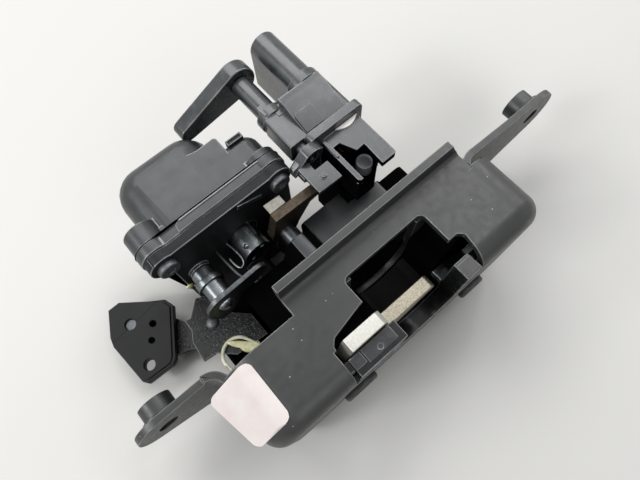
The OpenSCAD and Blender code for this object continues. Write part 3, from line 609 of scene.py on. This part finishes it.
def copy_of(node, name):
    """Copies a solid, merges its points and joins its flat facets."""
    only(frame["nodes"][node])
    bpy.ops.object.duplicate()
    piece = bpy.context.object
    piece.name = name
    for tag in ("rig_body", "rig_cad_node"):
        if tag in piece:
            del piece[tag]
    bpy.ops.object.mode_set(mode="EDIT")
    bpy.ops.mesh.select_all(action="SELECT")
    bpy.ops.mesh.remove_doubles(threshold=merge_mm * MM)
    bpy.ops.mesh.dissolve_limited(angle_limit=flat_turn)
    bpy.ops.object.mode_set(mode="OBJECT")
    return piece


def dress(node, name, material, edge_mm):
    """Copies a solid, rounds its edges, gives it a finish and shows it instead."""
    piece = copy_of(node, name)
    if node == "output_hub":
        carve(piece, slab("keyway", (-25.3, 24.6, 14.2), (-24.3, 29.6, 17)))
        carve(piece, drill((-30.2, 23.2, 16.4), (0.4, 0, -1), 0.65, 1.6))
    round_edges(piece, edge_mm, material)
    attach(piece, frame["nodes"][node]["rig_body"])
    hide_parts(node)
    return piece


# %% [markdown]
# A line of the table names a solid, its dressed copy, the finish, the width of
# the edges and the slot in the library. Mouldings get wide edges, and stamped
# or turned steel gets narrow ones. The greased wire is round and gets none. One
# table is used, because it shows at a glance which pieces share a finish.

# %% Dress them all
dressed = {}
for node, name, material, edge_mm, slot in (
    ("base_plate", "pressed_tray", ecoat, 0.25, "black_ecoat"),
    ("ear_collar_left", "left_ear_collar", nylon_dark, 0.25, "black_plastic"),
    ("ear_collar_right", "right_ear_collar", nylon_dark, 0.25, "black_plastic"),
    ("striker_guide", "striker_guide_block", acetal, 0.2, "gloss_black_plastic"),
    # The fork housing and the carrier below are painted near black as shade.
    ("latch_housing", "fork_housing", near_black_shade_nylon, 0.3, "black_plastic"),
    ("striker_bumper", "striker_buffer", rubber, 0.4, "bumper_rubber"),
    ("back_plate", "rear_plate", ecoat, 0.2, "dark_steel"),
    ("fork_pivot", "fork_rivet", ecoat, 0.12, "zinc_steel"),
    ("pawl_pivot", "pawl_rivet", ecoat, 0.12, "zinc_steel"),
    ("fork_bolt", "latch_fork", fork_skin, 0.3, "fork_steel"),
    ("pawl", "latch_pawl", zinc, 0.25, "zinc_steel"),
    ("carrier", "lever_carrier", near_black_shade_nylon, 0.3, "black_plastic"),
    ("side_bracket", "cable_bracket", wrinkle, 0.2, "wrinkle_black"),
    ("bracket_rivet", "bracket_rivet_head", screw_steel, 0.1, "dark_steel"),
    ("paddle_lever", "cable_paddle", paddle_nylon, 0.3, "grey_black_plastic"),
    ("paddle_rivet", "paddle_rivet_head", screw_steel, 0.12, "zinc_steel"),
    ("wire_spring", "return_wire", greased, 0.0, "greased_wire"),
    ("gear_case", "gear_case_front", case_nylon, 0.3, "grey_black_plastic"),
    ("gear_cover", "gear_case_cover", nylon, 0.35, "grey_black_plastic"),
    ("case_screws", "case_screw_heads", screw_steel, 0.08, "black_screw"),
    ("output_hub", "drive_drum", burnished, 0.25, "gloss_black_plastic"),
    ("cinch_shaft", "cinch_lever_shaft", zinc, 0.1, "zinc_steel"),
    ("cinch_hub", "cinch_lever_hub", burnished, 0.25, "gloss_black_plastic"),
    ("cinch_arm", "cinch_lever_arm", dark_steel, 0.15, "dark_steel"),
    ("release_pivot", "release_rivet", dark_steel, 0.12, "zinc_steel"),
    ("release_blade", "release_lever_blade", brown_strip, 0.15, "brown_steel"),
    ("release_tongue", "release_lever_tongue", bright, 0.12, "zinc_steel"),
    ("release_tab", "release_lever_tab", lever_plastic, 0.2, "gloss_black_plastic"),
    ("release_housing", "release_unit_housing", unit_nylon, 0.25, "grey_black_plastic"),
    ("cover_plug", "connector_post", painted_light_post_nylon, 0.2, "gloss_black_plastic"),
    ("manual_shaft", "manual_release_shaft", dark_steel, 0.15, "zinc_steel"),
    ("manual_lever", "manual_release_lever", lever_plastic, 0.4, "gloss_black_plastic"),
    ("crank_clip", "release_crank", lever_plastic, 0.2, "gloss_black_plastic"),
):
    dressed[node] = dress(node, name, material, edge_mm)
print("dressed", len(dressed), "solids,", sum(len(p.data.polygons) for p in dressed.values()), "faces")

# %% [markdown]
# ## A second finish on some faces
# Some faces get a second finish. The striker wears the fork's hook bright and
# leaves the prong its skin. The carrier is matt and painted near black as
# shade, and only its upper ledge, which faces up, keeps the smoother plain
# nylon. The walls and the floor of the connector's shroud are matt and painted
# near black as the shade of a deep pocket, and its rim stays smooth. These
# faces are found by their place and the way they face, so no new piece is needed.

# %% Worn hook, and painted shade on the carrier and in the pocket
def refinish(node, material, wanted):
    """Gives the faces of a dressed solid that are wanted a second finish."""
    piece = dressed[node]
    piece.data.materials.append(material)
    slot = len(piece.data.materials) - 1
    found = [face for face in piece.data.polygons if wanted(face.center / MM, face.normal.z)]
    for face in found:
        face.material_index = slot
    print(piece.name, "faces with a second finish:", len(found))


throat_x, prong_z, ledge_z = -15.6, 22, 12.5
refinish("fork_bolt", worn, lambda spot, up: spot.x < throat_x and spot.z > prong_z)
refinish("carrier", nylon, lambda spot, up: spot.z > ledge_z and up > 0.9)
pocket_x, pocket_y, pocket_floor_z, pocket_rim_z = (4.3, 22), (8.5, 27.9), 28.0, 30.6


def in_pocket(spot, up):
    """True for walls of the shroud below its rim, and for its floor."""
    top = pocket_floor_z if up > 0.5 else pocket_rim_z
    inside = pocket_x[0] < spot.x < pocket_x[1] and pocket_y[0] < spot.y < pocket_y[1]
    return inside and spot.z < top


refinish("release_housing", near_black_shade_nylon, in_pocket)

# %% [markdown]
# ## The blank label
# The label lies on the tray's rounded end and stands off straight where the
# metal curves away from it. It could be wrapped by a modifier, but then its
# free end would follow the metal too. So it starts as a flat grid, whose corner
# points are drawn in, and each point is then laid along the bend. It reaches
# out further at the rear, where it was not pressed down.

# %% Label sheet
bend_centre, bend_radius = Vector((-46.5, 0, 18.0)), 13.1
bend_start, bend_end = math.radians(103), math.radians(126)
straight_tail, label_front, label_back = 8.3, -24.2, -6.4
label_corner, flare_share, label_thick = 2.2, 0.3, 0.14


def rounded_corner(u, v, half):
    """Draws a point of the flat sheet in, where it lies outside a round corner."""
    corner = label_corner
    over = Vector((max(abs(u) - half.x + corner, 0), max(abs(v) - half.y + corner, 0)))
    if over.length <= corner:
        return u, v
    over = over.normalized() * corner
    return math.copysign(half.x - corner + over.x, u), math.copysign(half.y - corner + over.y, v)


bpy.ops.object.select_all(action="DESELECT")
bpy.ops.mesh.primitive_grid_add(x_subdivisions=36, y_subdivisions=48, size=2)
label = bpy.context.object
label.name = "blank_label"
arc = bend_radius * (bend_end - bend_start)
half = Vector(((arc + straight_tail) / 2, (label_back - label_front) / 2))
for vertex in label.data.vertices:
    u, v = rounded_corner(vertex.co.x * half.x, vertex.co.y * half.y, half)
    flare = 1 + flare_share * (v + half.y) / (2 * half.y)
    along = (u + half.x) * flare
    angle = bend_start + min(along, arc) / bend_radius
    outward = Vector((math.cos(angle), 0, math.sin(angle)))
    onward = Vector((-math.sin(angle), 0, math.cos(angle)))
    spot = bend_centre + outward * bend_radius + onward * max(along - arc, 0)
    vertex.co = Vector((spot.x, v + (label_front + label_back) / 2, spot.z)) * MM
skin = label.modifiers.new("sheet", "SOLIDIFY")
skin.thickness = label_thick * MM
only(label)
bpy.ops.object.modifier_apply(modifier=skin.name)
bpy.ops.object.shade_smooth_by_angle(angle=smooth_below)
label.data.materials.append(label_vinyl)
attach(label, frame["nodes"]["origin_label"]["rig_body"])
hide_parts("origin_label")
print("label", [round(d / MM, 1) for d in label.dimensions], "mm")

# %% [markdown]
# ## The inner solids
# The springs, the motors, the gears and the pins are closed in. Their solids
# are right as they are, so each one only gets its finish.

# %% Finishes for the inner solids
inner_finish = {
    "fork_spring": spring_steel, "pawl_spring": spring_steel, "cinch_motor": zinc, "worm": brass,
    "output_wheel": white_gear, "release_motor": zinc, "connector_pins": brass,
}
for node, material in inner_finish.items():
    solid = frame["nodes"][node]
    solid.data.materials.clear()
    solid.data.materials.append(material)
print("inner solids finished:", len(inner_finish))

# %% [markdown]
# ## Small features of the gear case
# The cover's flange is stepped, with a raised strip and a lip whose pale
# finish is a painted highlight. Its dome falls in a low shoulder behind and a
# small corner at the left. They could be pulled out of the cover's own mesh,
# but that would disturb its edges. So each is an outline extruded into the
# wall that carries it, and rises out of that wall with no gap.

# %% Steps of the cover
def add_piece(piece, material, node, edge_mm):
    """Rounds a new piece, gives it a finish and fixes it to the body of a solid."""
    round_edges(piece, edge_mm, material)
    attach(piece, frame["nodes"][node]["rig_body"])
    print(piece.name, [round(d / MM, 1) for d in piece.dimensions], "mm")


shoulder_top, corner_top, flange_top, sunk = 29.44, 29.1, 31.0, 0.2
strip = prism("cover_flange_strip", level(
    flange_top - sunk, (-42.6, 32.1), (-10.2, 32.1), (-9.2, 33.2), (-10.2, 35.4), (-40.6, 35.4),
    (-42.2, 34.6),
), (0, 0, 0.7))
add_piece(strip, nylon, "gear_cover", 0.22)
lip = slab("cover_lip", (-40.6, 34.7, flange_top + 0.3), (-10.4, 35.3, flange_top + 0.78))
add_piece(lip, painted_highlight, "gear_cover", 0.12)
shoulder = prism("cover_shoulder", level(
    shoulder_top, (-31.0, 43.0), (-17.1, 43.0), (-17.1, 50.4), (-17.9, 51.1), (-23.9, 50.9), (-27.5, 51.7),
    (-31.0, 52.9),
), (0, 0, -24))
add_piece(shoulder, nylon, "gear_cover", 0.4)
corner = prism("cover_corner", level(
    corner_top, (-49.2, 34.8), (-41.2, 34.8), (-41.2, 37.2), (-43.4, 38.4), (-47.6, 38.6), (-49.2, 37.6),
), (0, 0, -6))
add_piece(corner, nylon, "gear_cover", 0.5)

# %% [markdown]
# A moulded clip with a dished top stands on the cover, and the front half of
# the case has one slanted rib. An inset and a short extrude sink the dish with
# no cutter. A block turned to the slant could be the rib, but an outline on the
# front wall gives its uneven ends as well.

# %% Clip and rib
cover_top, case_front = 29.5, 28.6
clip = slab("cover_clip", (-16.0, 45.4, cover_top - 3.2), (-10.6, 47.3, cover_top + 0.35))
only(clip)
bpy.ops.object.mode_set(mode="EDIT")
bpy.ops.mesh.select_mode(type="FACE")
bpy.ops.mesh.select_all(action="DESELECT")
mesh = bmesh.from_edit_mesh(clip.data)
for face in mesh.faces:
    face.select_set(face.normal.z > 0.9)
bmesh.update_edit_mesh(clip.data)
bpy.ops.mesh.inset(thickness=0.4 * MM)
bpy.ops.mesh.extrude_region_move(TRANSFORM_OT_translate={"value": (0, 0, -0.8 * MM)})
bpy.ops.object.mode_set(mode="OBJECT")
add_piece(clip, nylon, "gear_cover", 0.12)
rib_corners = (-26.4, 28.4), (-25.8, 30.2), (-17.6, 26.8), (-18.2, 25.2)
rib = prism("case_front_rib", [(x, case_front + 0.1, z) for x, z in rib_corners], (0, -0.6, 0))
add_piece(rib, nylon, "gear_case", 0.12)

# %% [markdown]
# ## Small features of the release unit
# The motor box ends in a crown that slopes up to the barrel's collar and has a
# low square panel. A block could be cut to that slope, but a side view that is
# extruded across the box gives the whole slope with one outline.

# %% Crown and panel
box_top, box_left, box_width = 33.0, 2.3, 15.1
crown_front, crown_back, crown_low, crown_slope = 31.2, 41.0, 33.1, 3.4 / 9.8
collar_y, collar_z = 44.1, 36.9


def on_crown(x, y, lift=0.0):
    """A point on the sloping top of the crown."""
    return (x, y, crown_low + (y - crown_front) * crown_slope + lift)


crown = prism("box_crown", [
    (box_left, crown_front, box_top - sunk), on_crown(box_left, crown_front),
    on_crown(box_left, crown_back), (box_left, collar_y, collar_z), (box_left, collar_y, box_top - sunk),
], (box_width, 0, 0))
add_piece(crown, unit_nylon, "release_housing", 0.35)
panel_corners = (9.4, 31.8), (9.2, 37.2), (8.6, 37.8), (3.4, 37.8), (2.8, 37.2), (2.8, 31.8)
panel = prism("box_panel", [on_crown(x, y, -sunk) for x, y in panel_corners], (0, -0.25, 0.75))
add_piece(panel, unit_nylon, "release_housing", 0.16)

# %% [markdown]
# A lug and a rest stand by the bearing tube, and a glossy rib runs along the
# connector's shroud. These are plain blocks. A thin white bow at the rim is a
# painted highlight: only the bow is drawn, as an outline with points from a
# sine. It could be a whole ring, but the rest of it would be hidden, so only
# the bow that shows is drawn, with points from a sine.

# %% Lug, rest, rib and painted highlight
shroud_top = 31.0
lug = slab("tube_lug", (-3.0, 43.8, 31.4), (-0.6, 47.6, 34.0))
add_piece(lug, unit_nylon, "release_housing", 0.2)
rest = slab("tube_rest", (0.2, 41.2, 32.6), (4.0, 44.8, 33.7))
add_piece(rest, unit_nylon, "release_housing", 0.2)
edge = slab("shroud_rib", (4.6, 20.8, shroud_top - 0.1), (5.5, 28.2, shroud_top + 0.7))
add_piece(edge, lever_plastic, "release_housing", 0.12)
rim_highlight_left, rim_highlight_width, rim_highlight_y, rim_highlight_bow = 10.2, 8.6, 28.1, 1.7
steps = [i / 8 for i in range(9)]
bow = level(shroud_top - 0.05, *[
    (rim_highlight_left + rim_highlight_width * s, rim_highlight_y - rim_highlight_bow * math.sin(math.pi * s)) for s in steps])
rim_highlight = prism("connector_rim_highlight", bow, (0, 0, 0.6))
add_piece(rim_highlight, rim_highlight_white, "release_housing", 0.08)

# %% [markdown]
# ## Pads on the guide block
# The striker slides over thin pads that stand proud of the guide block, and
# the longest one has a small gate mark. A bump map would not show their step
# from the side, so they are low slabs, sunk a little into the block. The mark
# is drilled before the edges are rounded, so that its rim is rounded too.

# %% Guide pads
guide_top = 28.0
for name, low, high, pad_finish, mark in (
    ("guide_pad_left", (-26.5, -26.9), (-16.7, -23.1), pad_acetal, (-21.8, -25.6)),
    ("guide_pad_end", (-30.3, -26.3), (-26.9, -23.1), pad_acetal, None),
    ("guide_pad_right", (7.7, -27.4), (12.8, -23.6), acetal, None),
):
    pad = slab(name, (*low, guide_top - sunk), (*high, guide_top + 0.3))
    if mark:
        carve(pad, drill((*mark, guide_top + 0.8), (0, 0, -1), 0.8, 0.75))
    add_piece(pad, pad_finish, "striker_guide", 0.14)

# %% [markdown]
# ## The crank's band
# The crank's finger is a bent band round its shaft. A ring could be cut open
# for it, but its straight end would need a second piece. So it starts as one
# face whose end is extruded along the bend, and a Solidify modifier then gives
# it thickness. It stops short where it would meet the housing when the lever is
# turned.

# %% Crank band
def band(name, path, front, back, thickness):
    """A strip that follows a path in X and Z, between two planes across Y."""
    bpy.ops.object.select_all(action="DESELECT")
    bpy.ops.mesh.primitive_plane_add(size=2)
    piece = bpy.context.object
    piece.name = name
    for vertex in piece.data.vertices:
        x, z = path[0] if vertex.co.x < 0 else path[1]
        vertex.co = Vector((x, front if vertex.co.y < 0 else back, z)) * MM
    bpy.ops.object.mode_set(mode="EDIT")
    bpy.ops.mesh.select_mode(type="VERT")
    for (x0, z0), (x1, z1) in zip(path[1:], path[2:]):
        bpy.ops.mesh.select_all(action="DESELECT")
        mesh = bmesh.from_edit_mesh(piece.data)
        for vertex in mesh.verts:
            vertex.select_set((vertex.co - Vector((x0 * MM, vertex.co.y, z0 * MM))).length < 0.01 * MM)
        mesh.select_flush(True)
        bmesh.update_edit_mesh(piece.data)
        step = Vector((x1 - x0, 0, z1 - z0)) * MM
        bpy.ops.mesh.extrude_region_move(TRANSFORM_OT_translate={"value": step})
    bpy.ops.object.mode_set(mode="OBJECT")
    skin = piece.modifiers.new("sheet", "SOLIDIFY")
    skin.thickness = thickness * MM
    skin.offset = 0
    only(piece)
    bpy.ops.object.modifier_apply(modifier=skin.name)
    return piece


shaft_x, shaft_z, bend_r = -0.3, 29.8, 4.3
turn_at = [math.radians(40 + 12 * i) for i in range(8)]
crank_path = [(shaft_x + bend_r * math.cos(a), shaft_z + bend_r * math.sin(a)) for a in turn_at]
crank_path += [(-7.0, 28.4), (-7.2, 27.6)]
crank_band = band("crank_band", crank_path, 25.2, 28.4, 0.8)
add_piece(crank_band, lever_plastic, "crank_clip", 0.15)

# %% [markdown]
# ## Grease in the bow of the wire
# Grease fills the bow of the greased wire like a web. A blob would hang out on
# both sides, so the film is a flat outline that follows the wire, with edges
# as round as its thickness allows.

# %% Film of grease
film_z = -4.1
film = prism("grease_in_bow", level(
    film_z, (-53.4, 9.4), (-49.9, 7.0), (-44.4, 1.6), (-45.4, 0.9), (-48.8, 1.0), (-50.3, 2.6),
    (-50.7, 4.6), (-52.2, 6.6),
), (0, 0, 1.5))
add_piece(film, grease, "side_bracket", 0.55)

# %% [markdown]
# ## A wire clip
# A spring clip sits beside the drum: a bent loop and a thicker leg. A circle
# could be extruded from bend to bend, but its section would shrink there. So a
# wire starts as a path through five points, is given a round section and closed
# ends, and is turned into a mesh.

# %% Wire clip
def wire(name, points, radius):
    """A round wire through five points."""
    bpy.ops.object.select_all(action="DESELECT")
    bpy.ops.curve.primitive_nurbs_path_add()
    piece = bpy.context.object
    piece.name = name
    for knot, point in zip(piece.data.splines[0].points, points):
        knot.co = (*(Vector(point) * MM), 1)
    piece.data.splines[0].order_u = 3
    piece.data.splines[0].use_endpoint_u = True
    piece.data.bevel_depth = radius * MM
    piece.data.use_fill_caps = True
    piece.data.bevel_resolution = 4
    bpy.ops.object.convert(target="MESH")
    return bpy.context.object


clip_z = 13.0
loop_path = level(clip_z, (-33.6, 28.8), (-32.9, 25.6), (-32.9, 20.2), (-35.9, 19.1), (-35.9, 24.2))
add_piece(wire("drum_clip_loop", loop_path, 0.3), spring_steel, "gear_case", 0)
leg_path = level(clip_z, (-37.6, 28.8), (-37.4, 25), (-37.2, 22.3), (-36.9, 18.2), (-36.2, 16.9))
add_piece(wire("drum_clip_leg", leg_path, 0.42), dark_steel, "gear_case", 0)

# %% [markdown]
# ## Blobs of grease
# Grease has also gathered in small blobs where the levers rub. Metaballs would
# give soft blobs too, but their shape hangs on their neighbours. So a blob
# starts as a ball that is flattened, pushed about at random and smoothed. Each
# has a seed of its own, so that it comes out the same each time.

# %% Blobs of grease
def blob(name, place, size, seed):
    """A soft blob: a ball that is scaled, disturbed and smoothed."""
    bpy.ops.object.select_all(action="DESELECT")
    bpy.ops.mesh.primitive_ico_sphere_add(subdivisions=3, radius=MM)
    piece = bpy.context.object
    piece.name = name
    piece.data.transform(Matrix.Translation(Vector(place) * MM) @ Matrix.Diagonal((*size, 1)))
    bpy.ops.object.mode_set(mode="EDIT")
    bpy.ops.mesh.select_all(action="SELECT")
    bpy.ops.transform.vertex_random(offset=0.22 * MM, seed=seed)
    bpy.ops.mesh.vertices_smooth(factor=0.5, repeat=2)
    bpy.ops.object.mode_set(mode="OBJECT")
    return piece


for seed, (name, node, place, size) in enumerate((
    ("grease_at_edge", "side_bracket", (-46.2, 2.2, -3.4), (1.8, 1.0, 0.9)),
    ("grease_on_case", "gear_case", (-50.4, 28.4, 5.0), (1.4, 0.7, 1.1)),
    ("grease_low", "gear_case", (-48.6, 28.4, 2.6), (0.9, 0.6, 0.8)),
)):
    add_piece(blob(name, place, size, seed), grease, node, 0)

# %% [markdown]
# ## Compare the sizes
# The dressed latch must fill the same box as the solids, so that it can be
# shown in their place. The largest difference between the two boxes is printed.

# %% Compare the boxes and finish
looks_box = [list(corner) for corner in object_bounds()]
pairs = [pair for low, high in zip(solids_box, looks_box) for pair in zip(low, high)]
print("largest difference from the solids, mm:", max(abs(a - b) / MM for a, b in pairs))
